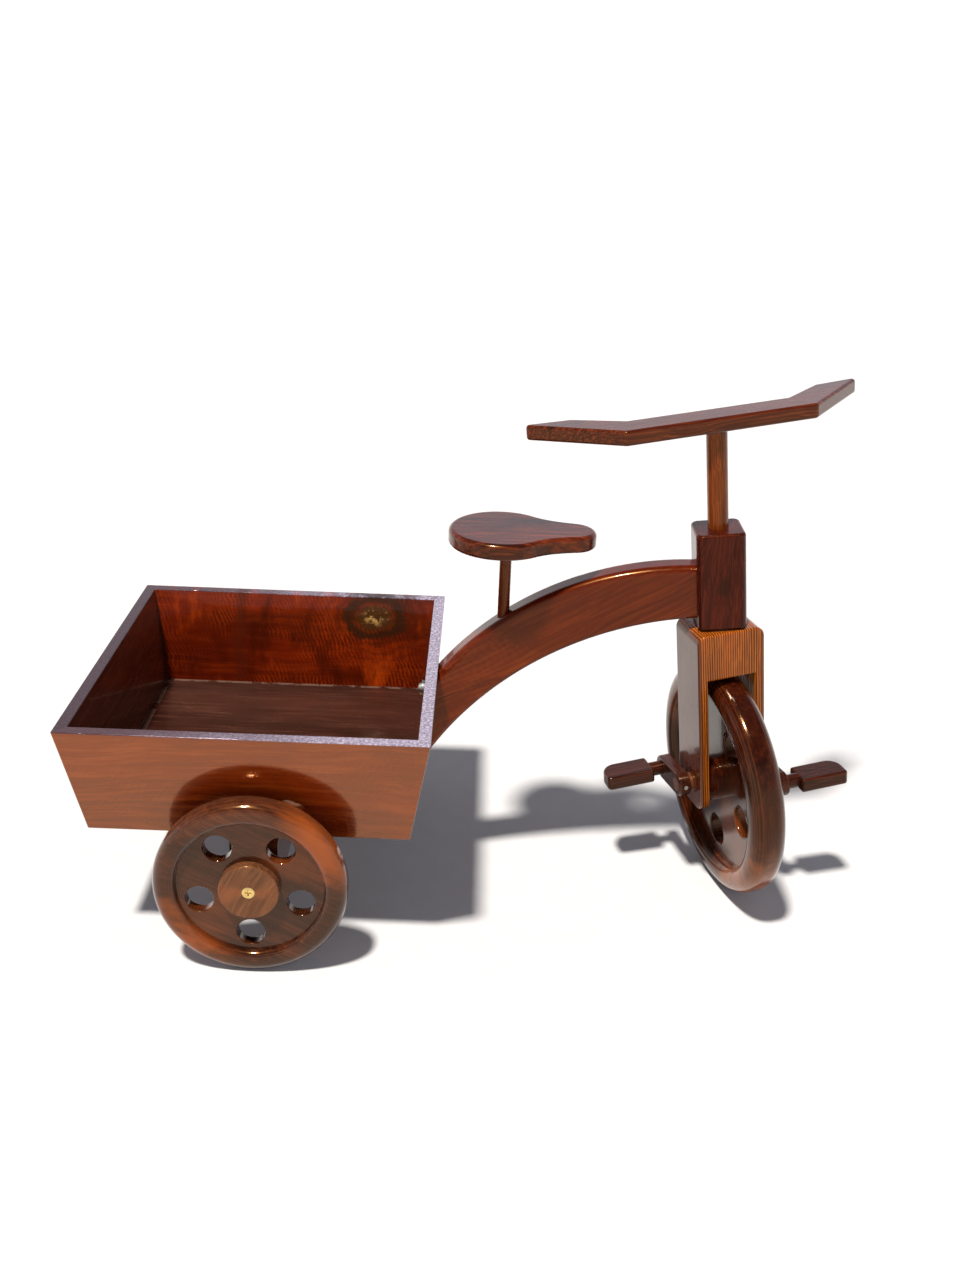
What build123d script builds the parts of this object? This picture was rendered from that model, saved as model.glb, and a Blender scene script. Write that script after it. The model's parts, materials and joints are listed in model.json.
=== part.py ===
from build123d import *
import os
from math import atan2, degrees

# Wooden tricycle with a rear cargo tray.  Millimetres, +X forward, +Y to the rider's left, +Z up.
# The three wheels stand on Z = 0.  The fork is modelled turned to the right, as the tricycle is parked.

# ---- driving dimensions -------------------------------------------------------------------------

# wheelbase and steering
wheelbase = 433.0            # rear axle to front axle, along X
steering_rake = 6.5          # degrees that the steering axis leans back
parked_steer = 75.0          # degrees that the parked fork is turned to the right
running_clearance = 0.08     # radial, every shaft that turns in wood
face_gap = 0.3               # between faces that turn past each other

# cargo tray, sizes over the rim
tray_length = 318.0
tray_width = 328.0
tray_height = 108.0
tray_bottom_z = 116.0
tray_rear_overhang = 165.0   # rim to rear axle
side_flare = 25.0            # how far each side leans out over the height
end_flare = 17.0
panel_thickness = 11.0       # measured level
floor_thickness = 14.0
rim_ease = 0.8               # rounding of the panels' top edges
corner_ease = 1.4            # rounding of the tray's outer corners and bottom edges

# rear wheels and axle
rear_wheel_radius = 85.0
rear_wheel_thickness = 26.0
rear_rim_width = 21.0
rear_rim_round = 11.0
rear_web_thickness = 11.0
tray_wheel_clearance = 3.5   # each wheel's inner face to the tray, level with the wheel's top
rear_hole_circle = 46.5
rear_hole_radius = 12.5
rear_hub_radius = 24.0
wheel_hole_count = 5
hole_edge_round = 1.6
rear_axle_radius = 9.0
axle_beam_width = 42.0
axle_beam_drop = 21.0        # beam's underside below the axle's centre
beam_chamfer = 2.0
hub_washer_thickness = 3.0
hub_washer_radius = 19.0
hub_cap_radius = 26.5
hub_cap_proud = 1.0          # cap's face beyond the rim's face
hub_screw_head_radius = 5.5
hub_screw_shank_radius = 2.5
hub_screw_length = 34.0

# curved beam and head block
beam_thickness = 28.0
beam_top_radius = 300.0
beam_bottom_radius = 325.0
beam_top_below_rim = 6.0
beam_depth_at_head = 51.0
beam_top_edge_round = 7.0
beam_bottom_edge_round = 4.0
head_length = 45.0           # fore and aft
head_width = 46.0
head_height = 92.0
head_corner_round = 7.0
head_edge_round = 3.0
head_foot_round = 1.0
beam_top_below_head = 33.0   # beam's top edge under the head's top, along the steering axis
beam_dowel_radius = 5.0
beam_dowel_length = 44.0
beam_dowel_spacing = 26.0
beam_bolt_radius = 3.0
beam_bolt_length = 46.0
beam_bolt_head_radius = 5.0
beam_bolt_head_height = 2.6
beam_bolt_height = 80.0      # above the tray's bottom
bolt_washer_radius = 7.5
bolt_washer_thickness = 1.2
foot_dowel_radius = 4.0
foot_dowel_length = 28.0
foot_dowel_in_panel = 7.5
foot_dowel_height = 57.0     # above the tray's bottom

# seat
seat_above_axle = 248.2716   # seat's top above the front axle, so it clears the beam
seat_thickness = 15.0
seat_rear_radius = 48.5
seat_nose_radius = 22.0
seat_rear_centre = 207.0     # rear circle's centre ahead of the rear axle
seat_nose_centre = 272.0
seat_flank_start = 50.0      # degrees off the middle where the hollow flank leaves the rear circle
seat_flank_end = 80.0        # and where it meets the nose
seat_top_round = 4.5
seat_bottom_round = 3.0
seat_post_radius = 5.5
seat_post_ahead = 212.0
seat_post_in_seat = 9.0
seat_post_reach = 116.0      # from the seat's top down to the foot of the post, inside the beam

# front wheel, fork and stem
front_wheel_radius = 114.0
front_wheel_thickness = 34.0
front_rim_width = 26.0
front_rim_round = 14.0
front_web_thickness = 12.0
front_hub_radius = 22.0
front_hole_circle = 60.0
front_hole_radius = 15.0
front_axle_radius = 9.0
fork_leg_thickness = 9.5
fork_depth = 54.0
fork_side_clearance = 6.5    # wheel to each leg
fork_top_clearance = 3.5     # wheel to the crown
fork_crown_height = 46.5     # solid wood over the slot
fork_below_axle = 22.0
fork_shoulder_round = 9.0
fork_toe_round = 14.0
fork_edge_round = 2.0
stem_radius = 9.5
stem_in_crown = 40.0
stem_in_bar = 10.0
thrust_washer_radius = 21.0
thrust_washer_thickness = 2.0
cross_pin_radius = 3.0
keeper_radius = 2.5
keeper_groove_depth = 3.5
keeper_groove_width = 6.0
keeper_below_head_top = 46.0

# handlebar, a flat board with swept grips; sizes from the steering axis
bar_underside = 351.0        # above the axle, along the steering axis
bar_thickness = 14.0
bar_front_edge = 16.0
bar_back_edge = 18.0
bar_elbow_front = 90.0
bar_elbow_back = 77.0
bar_tip_front = 168.0
bar_tip_back = 119.0
bar_tip_sweep = 53.0         # how far the tips lie behind the axis
bar_tip_slant = 5.0
bar_corner_round = 5.0
bar_tip_round = 3.5          # outer front corners
bar_edge_round = 3.0

# cranks and pedals
crank_length = 40.0
crank_width = 24.0
crank_thickness = 12.0
crank_edge_round = 2.0
axle_tenon_radius = 6.5      # front axle where it passes into the cranks
crank_gap = 3.0              # fork leg to crank
crank_drop = 4.0             # degrees that the parked right crank points down, to the rear
pedal_length = 48.0
pedal_depth = 28.0
pedal_thickness = 14.0
pedal_neck_length = 11.0
pedal_neck_radius = 7.0
pedal_spigot_radius = 5.0
pedal_corner_round = 14.0    # outer corner at the back
pedal_toe_round = 4.0        # outer corner at the front
pedal_edge_round = 2.5
pedal_screw_head_radius = 8.0
pedal_screw_head_height = 2.0
pedal_screw_radius = 2.0
pedal_screw_length = 36.0
pedal_recess_depth = 4.0
crank_pin_radius = 2.0
bar_pin_radius = 2.5

# nails and screws out of sight
nail_radius = 1.2
nail_length = 30.0
nail_inset = 20.0            # from the panel's top and bottom edges
beam_screw_radius = 3.0
beam_screw_head_radius = 5.0
beam_screw_head_height = 3.0
beam_screw_in_floor = 9.0
beam_screw_spread = 95.0     # either side of the middle
beam_screw_ahead = 13.5      # ahead of the axle, clear of its bore

# ---- frames of reference ------------------------------------------------------------------------

steering_axis = Vector(0, 0, 1).rotate(Axis.Y, -steering_rake)
straight_ahead = Vector(1, 0, 0).rotate(Axis.Y, -steering_rake)
fork_forward = straight_ahead.rotate(Axis((0, 0, 0), steering_axis), -parked_steer)
fork_left = steering_axis.cross(fork_forward)

# the parked front wheel leans, so the lowest point is on the rounded shoulder of its rim
shoulder_radius = front_wheel_radius - front_rim_round
shoulder_offset = front_wheel_thickness / 2 - front_rim_round
upright = (1 - fork_left.Z ** 2) ** 0.5
front_axle_z = shoulder_radius * upright + shoulder_offset * abs(fork_left.Z) + front_rim_round

# the rear wheels stand clear of the tray's flared sides
wheel_top_below_rim = tray_bottom_z + tray_height - 2 * rear_wheel_radius
tray_half_at_wheel = tray_width / 2 - side_flare * wheel_top_below_rim / tray_height
rear_half_track = tray_half_at_wheel + tray_wheel_clearance + rear_wheel_thickness / 2

# the fork stands clear of the wheel that turns in it
fork_slot_width = front_wheel_thickness + 2 * fork_side_clearance
fork_width = fork_slot_width + 2 * fork_leg_thickness
fork_slot_above_axle = front_wheel_radius + fork_top_clearance
fork_crown_above_axle = fork_slot_above_axle + fork_crown_height

# the seat rises with the beam that it stands on
seat_top_z = front_axle_z + seat_above_axle
seat_post_foot_z = seat_top_z - seat_post_reach

crank_middle = fork_width / 2 + crank_gap + crank_thickness / 2
crank_outer = fork_width / 2 + crank_gap + crank_thickness
pedal_tip = crank_outer + face_gap + pedal_neck_length + pedal_length
front_reach = (fork_left * pedal_tip + fork_forward * (crank_length + pedal_depth / 2)).X - 4.0
rear_axle_x = (tray_rear_overhang - wheelbase - front_reach) / 2

side_view = Plane(origin=(rear_axle_x, 0, 0), x_dir=(1, 0, 0), z_dir=(0, -1, 0))
front_origin = Vector(rear_axle_x + wheelbase, 0, front_axle_z)
head_frame = Plane(origin=front_origin, x_dir=straight_ahead, z_dir=steering_axis)
fork_frame = Plane(origin=front_origin, x_dir=fork_forward, z_dir=steering_axis)
fork_side = Plane(origin=front_origin, x_dir=fork_forward, z_dir=-fork_left)
fork_front = Plane(origin=front_origin, x_dir=fork_left, z_dir=fork_forward)
front_axis = Axis(front_origin, fork_left)
rear_axis = Axis((rear_axle_x, 0, rear_wheel_radius), (0, 1, 0))

tray_rim_z = tray_bottom_z + tray_height
tray_centre_x = rear_axle_x - tray_rear_overhang + tray_length / 2
head_bottom = fork_crown_above_axle + thrust_washer_thickness + face_gap
head_top = head_bottom + head_height


def tray_plan(height, inset):
    """Length and width of the tray's outside at a height above its bottom, less an inset all round."""
    lean = 1 - height / tray_height
    length = tray_length - 2 * end_flare * lean - 2 * inset
    width = tray_width - 2 * side_flare * lean - 2 * inset
    return length, width


def front_face_ahead(z):
    """How far the tray's front face stands ahead of the rear axle at height z."""
    return tray_length - tray_rear_overhang - end_flare * (tray_rim_z - z) / tray_height


def head_back_ahead(above_axle):
    """How far the head's back face stands ahead of the rear axle, and its height, on the side view."""
    point = head_frame.from_local_coords(Vector(-head_length / 2, 0, above_axle))
    return point.X - rear_axle_x, point.Z


def runs_along(way):
    """Picks the edges that run along a direction."""
    return lambda edge: abs(abs(edge.tangent_at(0).dot(way)) - 1) < 0.001


def square_to(way):
    """Picks the faces that stand square to a direction."""
    return lambda face: abs(abs(face.normal_at().dot(way)) - 1) < 0.001


# ---- fasteners that other pieces are bored for --------------------------------------------------

tray_plane = Plane((tray_centre_x, 0, tray_bottom_z))

with BuildPart() as panel_nails:
    for level in (nail_inset, tray_height - nail_inset):
        length, width = tray_plan(level, 0)
        for end in (-1, 1):
            for side in (-1, 1):
                seat_y = side * (width / 2 - panel_thickness / 2)
                start = (tray_centre_x + end * (length / 2 - 1.0), seat_y, tray_bottom_z + level)
                with BuildSketch(Plane(start, z_dir=(-end, 0, 0))):
                    Circle(nail_radius)
                extrude(amount=nail_length)
panel_nails.part.label = "panel_nails"

panel_lean = degrees(atan2(end_flare, tray_height))
into_beam = Vector(1, 0, 0).rotate(Axis.Y, panel_lean)


def front_panel_plane(height, from_outside):
    """Plane square to the front panel at a height above the tray's bottom, facing forward."""
    level = tray_bottom_z + height
    spot = Vector(rear_axle_x + front_face_ahead(level) - panel_thickness, 0, level)
    return Plane(spot, z_dir=into_beam).offset(from_outside)


panel_inside = front_panel_plane(beam_bolt_height, 0)
panel_square = panel_thickness * into_beam.X
with BuildPart() as beam_bolt_washer:
    with BuildSketch(panel_inside):
        Circle(bolt_washer_radius)
        Circle(beam_bolt_radius, mode=Mode.SUBTRACT)
    extrude(amount=-bolt_washer_thickness)
beam_bolt_washer.part.label = "beam_bolt_washer"

with BuildPart() as beam_bolt:
    with BuildSketch(panel_inside.offset(-bolt_washer_thickness)):
        Circle(beam_bolt_radius)
    extrude(amount=beam_bolt_length)
    with BuildSketch(panel_inside.offset(-bolt_washer_thickness)):
        Circle(beam_bolt_head_radius)
    extrude(amount=-beam_bolt_head_height, taper=25)
beam_bolt.part.label = "beam_bolt"

with BuildPart() as beam_foot_dowel:
    with BuildSketch(front_panel_plane(foot_dowel_height, panel_square - foot_dowel_in_panel)):
        Circle(foot_dowel_radius)
    extrude(amount=foot_dowel_length)
beam_foot_dowel.part.label = "beam_foot_dowel"

with BuildPart() as axle_beam_screws:
    for screw_y in (-beam_screw_spread, beam_screw_spread):
        foot = rear_wheel_radius - axle_beam_drop
        with BuildSketch(Plane((rear_axle_x + beam_screw_ahead, screw_y, foot))):
            Circle(beam_screw_head_radius)
        extrude(amount=beam_screw_head_height)
        with BuildSketch(Plane((rear_axle_x + beam_screw_ahead, screw_y, foot))):
            Circle(beam_screw_radius)
        extrude(amount=tray_bottom_z + beam_screw_in_floor - foot)
axle_beam_screws.part.label = "axle_beam_screws"

# ---- cargo tray ---------------------------------------------------------------------------------

with BuildPart() as tray_shell:
    for inset, mode in ((0, Mode.ADD), (panel_thickness, Mode.SUBTRACT)):
        with BuildSketch(tray_plane):
            Rectangle(*tray_plan(0, inset))
        with BuildSketch(tray_plane.offset(tray_height)):
            Rectangle(*tray_plan(tray_height, inset))
        loft(mode=mode)
    leaning = tray_shell.edges().filter_by(lambda edge: abs(edge.tangent_at(0.5).Z) > 0.5)
    outer_corners = leaning.sort_by(lambda edge: abs(edge.center().Y))[-4:]
    fillet(outer_corners, radius=corner_ease)
    middle_length, middle_width = tray_plan(0, panel_thickness / 2)
    outer_bottom = tray_shell.edges().group_by(Axis.Z)[0].filter_by(
        lambda edge: abs(edge.center().X - tray_centre_x) > middle_length / 2
        or abs(edge.center().Y) > middle_width / 2)
    fillet(outer_bottom, radius=corner_ease)
    fillet(tray_shell.edges().group_by(Axis.Z)[-1], radius=rim_ease)

rim_half_length = tray_length / 2
rim_half_width = tray_width / 2


def mitre_plane(end, side):
    """Plane of one corner's mitre, its normal towards the end panel."""
    corner = Vector(tray_centre_x + end * rim_half_length, side * rim_half_width, tray_rim_z)
    across = Vector(-end, -side, 0)
    edge = Vector(-end * end_flare, -side * side_flare, -tray_height)
    normal = across.cross(edge)
    if normal.X * end < 0:
        normal = -normal
    return Plane(corner, x_dir=across, z_dir=normal)


end_panels = {}
for end, name in ((-1, "rear_panel"), (1, "front_panel")):
    with BuildPart() as end_panel:
        add(tray_shell.part)
        for side in (-1, 1):
            split(bisect_by=mitre_plane(end, side), keep=Keep.TOP)
        add(panel_nails.part, mode=Mode.SUBTRACT)
        if end > 0:
            add(beam_bolt.part, mode=Mode.SUBTRACT)
            add(beam_foot_dowel.part, mode=Mode.SUBTRACT)
    end_panel.part.label = name
    end_panels[name] = end_panel.part

side_panels = {}
for side, name in ((-1, "right_side_panel"), (1, "left_side_panel")):
    with BuildPart() as side_panel:
        add(tray_shell.part)
        for end in (-1, 1):
            split(bisect_by=mitre_plane(end, side), keep=Keep.BOTTOM)
        split(bisect_by=Plane((tray_centre_x, 0, 0), z_dir=(0, side, 0)), keep=Keep.TOP)
        add(panel_nails.part, mode=Mode.SUBTRACT)
    side_panel.part.label = name
    side_panels[name] = side_panel.part

with BuildPart() as cargo_floor:
    with BuildSketch(tray_plane):
        Rectangle(*tray_plan(0, panel_thickness))
    with BuildSketch(tray_plane.offset(floor_thickness)):
        Rectangle(*tray_plan(floor_thickness, panel_thickness))
    loft()
    add(axle_beam_screws.part, mode=Mode.SUBTRACT)
cargo_floor.part.label = "cargo_floor"

# ---- rear axle ----------------------------------------------------------------------------------

wheel_inner_face = rear_half_track - rear_wheel_thickness / 2
axle_beam_end = wheel_inner_face - hub_washer_thickness - face_gap
web_outer_face = rear_half_track + rear_web_thickness / 2
axle_end = web_outer_face + face_gap
hub_cap_face = rear_half_track + rear_wheel_thickness / 2 + hub_cap_proud
axle_beam_top = tray_bottom_z - rear_wheel_radius

with BuildPart() as rear_axle_beam:
    with BuildSketch(side_view):
        with Locations((0, rear_wheel_radius + (axle_beam_top - axle_beam_drop) / 2)):
            Rectangle(axle_beam_width, axle_beam_top + axle_beam_drop)
    extrude(amount=axle_beam_end, both=True)
    chamfer(rear_axle_beam.edges().filter_by(Axis.Y).group_by(Axis.Z)[0], length=beam_chamfer)
    with BuildSketch(side_view):
        with Locations((0, rear_wheel_radius)):
            Circle(rear_axle_radius)
    extrude(amount=axle_beam_end, both=True, mode=Mode.SUBTRACT)
    add(axle_beam_screws.part, mode=Mode.SUBTRACT)
rear_axle_beam.part.label = "rear_axle_beam"


def hub_screw(side):
    """Countersunk cross-head screw into the axle's end."""
    face = Plane((rear_axle_x, side * hub_cap_face, rear_wheel_radius), z_dir=(0, side, 0))
    with BuildPart() as screw:
        with BuildSketch(face):
            Circle(hub_screw_shank_radius)
        extrude(amount=-hub_screw_length)
        with BuildSketch(face):
            Circle(hub_screw_head_radius)
        extrude(amount=-(hub_screw_head_radius - hub_screw_shank_radius), taper=45)
        with BuildSketch(face):
            Rectangle(hub_screw_head_radius * 1.1, hub_screw_head_radius * 0.24)
            Rectangle(hub_screw_head_radius * 0.24, hub_screw_head_radius * 1.1)
        extrude(amount=-hub_screw_head_radius * 0.35, mode=Mode.SUBTRACT)
    return screw.part


def hub_cap(side, screw):
    """Turned disc that the screw holds against the axle's end, so the wheel runs behind it."""
    face = Plane((rear_axle_x, side * hub_cap_face, rear_wheel_radius), z_dir=(0, side, 0))
    with BuildPart() as cap:
        with BuildSketch(face):
            Circle(hub_cap_radius)
        extrude(amount=axle_end - hub_cap_face)
        outer_edge = cap.faces().sort_by(Axis.Y)[-1 if side > 0 else 0].edges()
        fillet(outer_edge, radius=1.5)
        with BuildSketch(face):
            Circle(hub_screw_shank_radius)
        extrude(amount=axle_end - hub_cap_face, mode=Mode.SUBTRACT)
        with BuildSketch(face):
            Circle(hub_screw_head_radius)
        extrude(amount=-(hub_screw_head_radius - hub_screw_shank_radius), taper=45, mode=Mode.SUBTRACT)
    return cap.part


def hub_washer(side):
    """Hardwood washer between the axle beam's end and the wheel's hub."""
    with BuildPart() as washer:
        with BuildSketch(Plane((rear_axle_x, side * axle_beam_end, rear_wheel_radius), z_dir=(0, side, 0))):
            Circle(hub_washer_radius)
            Circle(rear_axle_radius, mode=Mode.SUBTRACT)
        extrude(amount=hub_washer_thickness)
    return washer.part


hub_parts = {}
for side, name in ((-1, "right"), (1, "left")):
    screw = hub_screw(side)
    hub_parts[name + "_hub_screw"] = screw
    hub_parts[name + "_hub_cap"] = hub_cap(side, screw)
    hub_parts[name + "_hub_washer"] = hub_washer(side)

with BuildPart() as rear_axle:
    with BuildSketch(side_view):
        with Locations((0, rear_wheel_radius)):
            Circle(rear_axle_radius)
    extrude(amount=axle_end, both=True)
    chamfer(rear_axle.edges().filter_by(GeomType.CIRCLE), length=1.0)
    add(hub_parts["right_hub_screw"], mode=Mode.SUBTRACT)
    add(hub_parts["left_hub_screw"], mode=Mode.SUBTRACT)
rear_axle.part.label = "rear_axle"

# ---- wheels -------------------------------------------------------------------------------------


def turned_wheel(centre, outward, forward, radius, thickness, rim, rim_round, web, hub, hub_reach, bore,
                 holes):
    """Wheel turned from one disc: rounded rim, thin web with round holes, and a hub boss."""
    hub_out, hub_in = hub_reach
    hole_circle, hole_radius, lowest = holes
    with BuildPart() as wheel:
        with BuildSketch(Plane(centre, x_dir=forward, z_dir=forward.cross(outward))) as section:
            with Locations((radius - rim / 2, 0)):
                Rectangle(rim, thickness)
            fillet(section.vertices().group_by(Axis.X)[-1], radius=rim_round)
            fillet(section.vertices().group_by(Axis.X)[0], radius=rim_round * 0.7)
            with Locations(((bore + radius - rim * 0.7) / 2, 0)):
                Rectangle(radius - rim * 0.7 - bore, web)
            with Locations(((bore + hub) / 2, (hub_out - hub_in) / 2)):
                Rectangle(hub - bore, hub_out + hub_in)
        revolve(axis=Axis(centre, outward))
        with BuildSketch(Plane(centre, x_dir=forward, z_dir=outward).offset(thickness)):
            with PolarLocations(hole_circle, wheel_hole_count, start_angle=lowest):
                Circle(hole_radius)
        extrude(amount=-2 * thickness, mode=Mode.SUBTRACT)
        rims = wheel.edges().filter_by(GeomType.CIRCLE)
        hole_rims = rims.filter_by(lambda edge: abs(edge.radius - hole_radius) < 0.01)
        fillet(hole_rims, radius=hole_edge_round)
    return wheel.part


rear_holes = (rear_hole_circle, rear_hole_radius)
rear_bore = rear_axle_radius + running_clearance
rear_hub_reach = (rear_web_thickness / 2, rear_wheel_thickness / 2)
rear_wheels = {}
for side, name in ((-1, "right_rear_wheel"), (1, "left_rear_wheel")):
    centre = Vector(rear_axle_x, side * rear_half_track, rear_wheel_radius)
    outward = Vector(0, side, 0)
    forward = Vector(-side, 0, 0)
    rear_wheels[name] = turned_wheel(
        centre, outward, forward, rear_wheel_radius, rear_wheel_thickness, rear_rim_width, rear_rim_round,
        rear_web_thickness, rear_hub_radius, rear_hub_reach, rear_bore, (*rear_holes, -90.0))
    rear_wheels[name].label = name

front_hub_half = fork_slot_width / 2 - 1.0
with BuildPart() as wheel_key_pin:
    with BuildSketch(fork_frame.offset(-front_hub_radius + 2.0)):
        Circle(cross_pin_radius)
    extrude(amount=2 * front_hub_radius - 4.0)
wheel_key_pin.part.label = "wheel_key_pin"

front_wheel_blank = turned_wheel(
    front_origin, -fork_left, fork_forward, front_wheel_radius, front_wheel_thickness, front_rim_width,
    front_rim_round, front_web_thickness, front_hub_radius, (front_hub_half, front_hub_half),
    front_axle_radius, (front_hole_circle, front_hole_radius, -90.0))
with BuildPart() as front_wheel:
    add(front_wheel_blank)
    add(wheel_key_pin.part, mode=Mode.SUBTRACT)
front_wheel.part.label = "front_wheel"

# ---- head block and curved beam -----------------------------------------------------------------

with BuildPart() as beam_dowels:
    middle = head_top - beam_top_below_head - beam_depth_at_head / 2
    for step in (-0.5, 0.5):
        level = middle + step * beam_dowel_spacing
        start = head_frame.from_local_coords(Vector(-head_length / 2 - beam_dowel_length / 2, 0, level))
        with BuildSketch(Plane(start, z_dir=straight_ahead)):
            Circle(beam_dowel_radius)
        extrude(amount=beam_dowel_length / 2 + head_length / 2 - stem_radius - 3.0)
beam_dowels.part.label = "beam_dowels"

keeper_offset = stem_radius - keeper_groove_depth + face_gap + keeper_radius
keeper_level = head_top - keeper_below_head_top
with BuildPart() as keeper_pin:
    keeper_start = head_frame.from_local_coords(Vector(keeper_offset, head_width / 2, keeper_level))
    with BuildSketch(Plane(keeper_start, z_dir=(0, -1, 0))):
        Circle(keeper_radius)
    extrude(amount=head_width * 0.8)
keeper_pin.part.label = "keeper_pin"

with BuildPart() as head_block:
    with BuildSketch(head_frame.offset(head_bottom)):
        RectangleRounded(head_length, head_width, head_corner_round)
    extrude(amount=head_height)
    fillet(head_block.faces().sort_by(Axis.Z)[-1].edges(), radius=head_edge_round)
    fillet(head_block.faces().sort_by(Axis.Z)[0].edges(), radius=head_foot_round)
    with BuildSketch(head_frame.offset(head_bottom)):
        Circle(stem_radius + running_clearance)
    extrude(amount=head_height, mode=Mode.SUBTRACT)
    add(beam_dowels.part, mode=Mode.SUBTRACT)
    add(keeper_pin.part, mode=Mode.SUBTRACT)
head_block.part.label = "head_block"

with BuildPart() as seat_post:
    with BuildSketch(Plane((rear_axle_x + seat_post_ahead, 0, seat_post_foot_z))):
        Circle(seat_post_radius)
    extrude(amount=seat_top_z - seat_thickness + seat_post_in_seat - seat_post_foot_z)
seat_post.part.label = "seat_post"

top_foot_z = tray_rim_z - beam_top_below_rim
top_foot = (front_face_ahead(top_foot_z), top_foot_z)
bottom_foot_z = tray_bottom_z + 1.0
bottom_foot = (front_face_ahead(bottom_foot_z), bottom_foot_z)
top_head = head_back_ahead(head_top - beam_top_below_head)
bottom_head = head_back_ahead(head_top - beam_top_below_head - beam_depth_at_head)

with BuildPart() as curved_beam:
    with BuildSketch(side_view):
        with BuildLine() as beam_outline:
            RadiusArc(top_foot, top_head, beam_top_radius)
            Line(top_head, bottom_head)
            RadiusArc(bottom_head, bottom_foot, -beam_bottom_radius)
            Line(bottom_foot, top_foot)
        make_face()
    extrude(amount=beam_thickness / 2, both=True)
    arcs = curved_beam.edges().filter_by(GeomType.CIRCLE)
    fillet(arcs.filter_by(lambda edge: abs(edge.radius - beam_top_radius) < 1), radius=beam_top_edge_round)
    arcs = curved_beam.edges().filter_by(GeomType.CIRCLE)
    fillet(arcs.filter_by(lambda edge: abs(edge.radius - beam_bottom_radius) < 1),
           radius=beam_bottom_edge_round)
    add(seat_post.part, mode=Mode.SUBTRACT)
    add(beam_dowels.part, mode=Mode.SUBTRACT)
    add(beam_bolt.part, mode=Mode.SUBTRACT)
    add(beam_foot_dowel.part, mode=Mode.SUBTRACT)
curved_beam.part.label = "curved_beam"

# ---- seat ---------------------------------------------------------------------------------------

seat_plane = Plane((rear_axle_x, 0, seat_top_z - seat_thickness))


def on_circle(centre, radius, angle):
    """Point at an angle from straight ahead on a circle on the seat's middle line, and its tangent."""
    spoke = Vector(radius, 0).rotate(Axis.Z, angle)
    return Vector(centre, 0) + spoke, spoke.normalized().rotate(Axis.Z, -90)


with BuildPart() as seat:
    with BuildSketch(seat_plane):
        with BuildLine():
            hip, hip_way = on_circle(seat_rear_centre, seat_rear_radius, seat_flank_start)
            knee, knee_way = on_circle(seat_nose_centre, seat_nose_radius, seat_flank_end)
            Spline(hip, knee, tangents=(hip_way, knee_way))
            ThreePointArc(knee, (seat_nose_centre + seat_nose_radius, 0), (knee.X, -knee.Y))
            hip_back = Vector(-hip_way.X, hip_way.Y)
            knee_back = Vector(-knee_way.X, knee_way.Y)
            Spline((knee.X, -knee.Y), (hip.X, -hip.Y), tangents=(knee_back, hip_back))
            ThreePointArc((hip.X, -hip.Y), (seat_rear_centre - seat_rear_radius, 0), hip)
        make_face()
    extrude(amount=seat_thickness)
    fillet(seat.faces().sort_by(Axis.Z)[-1].edges(), radius=seat_top_round)
    fillet(seat.faces().sort_by(Axis.Z)[0].edges(), radius=seat_bottom_round)
    add(seat_post.part, mode=Mode.SUBTRACT)
seat.part.label = "seat"

# ---- fork, stem and handlebar -------------------------------------------------------------------

stem_foot = fork_crown_above_axle - stem_in_crown
with BuildPart() as stem_cross_pin:
    pin_start = fork_frame.from_local_coords(Vector(-fork_depth / 2, 0, stem_foot + stem_in_crown / 2))
    with BuildSketch(Plane(pin_start, z_dir=fork_forward)):
        Circle(cross_pin_radius)
    extrude(amount=fork_depth * 0.8)
stem_cross_pin.part.label = "stem_cross_pin"

with BuildPart() as bar_pin:
    pin_start = fork_frame.from_local_coords(Vector(-bar_back_edge, 0, bar_underside + stem_in_bar / 2))
    with BuildSketch(Plane(pin_start, z_dir=fork_forward)):
        Circle(bar_pin_radius)
    extrude(amount=bar_back_edge + stem_radius + 2.0)
bar_pin.part.label = "bar_pin"

with BuildPart() as steering_stem:
    with BuildSketch(fork_frame.offset(stem_foot)):
        Circle(stem_radius)
    extrude(amount=bar_underside + stem_in_bar - stem_foot)
    with BuildSketch(fork_frame.offset(keeper_level - keeper_groove_width / 2)):
        Circle(stem_radius)
        Circle(stem_radius - keeper_groove_depth, mode=Mode.SUBTRACT)
    extrude(amount=keeper_groove_width, mode=Mode.SUBTRACT)
    add(stem_cross_pin.part, mode=Mode.SUBTRACT)
    add(bar_pin.part, mode=Mode.SUBTRACT)
steering_stem.part.label = "steering_stem"

with BuildPart() as thrust_washer:
    with BuildSketch(fork_frame.offset(fork_crown_above_axle)):
        Circle(thrust_washer_radius)
        Circle(stem_radius, mode=Mode.SUBTRACT)
    extrude(amount=thrust_washer_thickness)
thrust_washer.part.label = "thrust_washer"

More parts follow.
